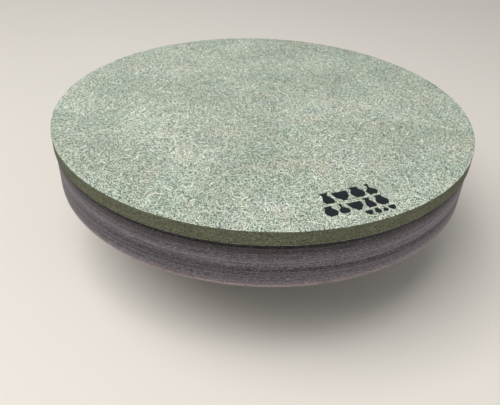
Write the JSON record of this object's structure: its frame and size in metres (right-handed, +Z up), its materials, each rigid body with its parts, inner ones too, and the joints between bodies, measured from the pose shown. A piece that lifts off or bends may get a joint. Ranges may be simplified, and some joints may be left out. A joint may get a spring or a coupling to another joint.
{
  "type": "pottery wheel head with throwing bat",
  "caption": "Potter's wheel head on its flanged bearing unit, with a round green fibreboard throwing bat that lifts off locating pins.",
  "frame": {"origin": "on the axis of rotation, at the plane where the housing flange sits on the wheel's deck", "axes": "+Z up along the axis of rotation; the bat pins stand on the X axis"},
  "size_m": [0.306, 0.306, 0.106],
  "materials": {
    "green_board": "moisture-resistant fibreboard, dyed pale green, sanded matt face with darker cut edge",
    "cast_aluminium": "turned cast aluminium, dull grey with dried clay in the turning marks",
    "zinc_steel": "bright zinc plate",
    "black_steel": "black oxide",
    "ground_steel": "ground",
    "stainless_sheet": "spun stainless sheet",
    "bearing_steel": "polished bearing steel",
    "cage_nylon": "natural nylon",
    "seal_rubber": "black nitrile rubber",
    "painted_casting": "grey enamel on sand-cast iron"
  },
  "bodies": {
    "housing": {"bearing_housing": "painted_casting", "upper_bearing_outer_ring": "bearing_steel", "lower_bearing_outer_ring": "bearing_steel", "upper_bearing_seals": "seal_rubber", "lower_bearing_seals": "seal_rubber", "shaft_lip_seal": "seal_rubber", "housing_circlip": "black_steel"},
    "head": {"wheel_head": "cast_aluminium", "bat_pins": "zinc_steel", "bat_pin_washers": "zinc_steel", "bat_pin_wing_nuts": "zinc_steel", "hub_set_screws": "black_steel", "hub_key": "ground_steel", "spindle": "ground_steel", "splash_slinger": "stainless_sheet", "spindle_circlip": "black_steel", "bearing_spacer": "ground_steel", "upper_bearing_inner_ring": "bearing_steel", "lower_bearing_inner_ring": "bearing_steel"},
    "upper_cage": {"upper_bearing_balls": "bearing_steel", "upper_bearing_cage": "cage_nylon"},
    "lower_cage": {"lower_bearing_balls": "bearing_steel", "lower_bearing_cage": "cage_nylon"},
    "bat": {"throwing_bat": "green_board"}
  },
  "joints": [
    {"name": "head_spin", "type": "hinge", "parent": "housing", "child": "head", "pos_m": [0, 0, 0.05], "axis": [0, 0, 1], "continuous": true},
    {"name": "bat_lift", "type": "slide", "parent": "head", "child": "bat", "axis": [0, 0, 1], "range_m": [0, 0.06]},
    {"name": "upper_cage_spin", "type": "hinge", "parent": "housing", "child": "upper_cage", "pos_m": [0, 0, 0.0345], "axis": [0, 0, 1], "continuous": true},
    {"name": "lower_cage_spin", "type": "hinge", "parent": "housing", "child": "lower_cage", "pos_m": [0, 0, 0.0155], "axis": [0, 0, 1], "continuous": true}
  ],
  "couplings": [
    {"joint": "upper_cage_spin", "follows": "head_spin", "ratio": 0.39688},
    {"joint": "lower_cage_spin", "follows": "head_spin", "ratio": 0.39688}
  ]
}
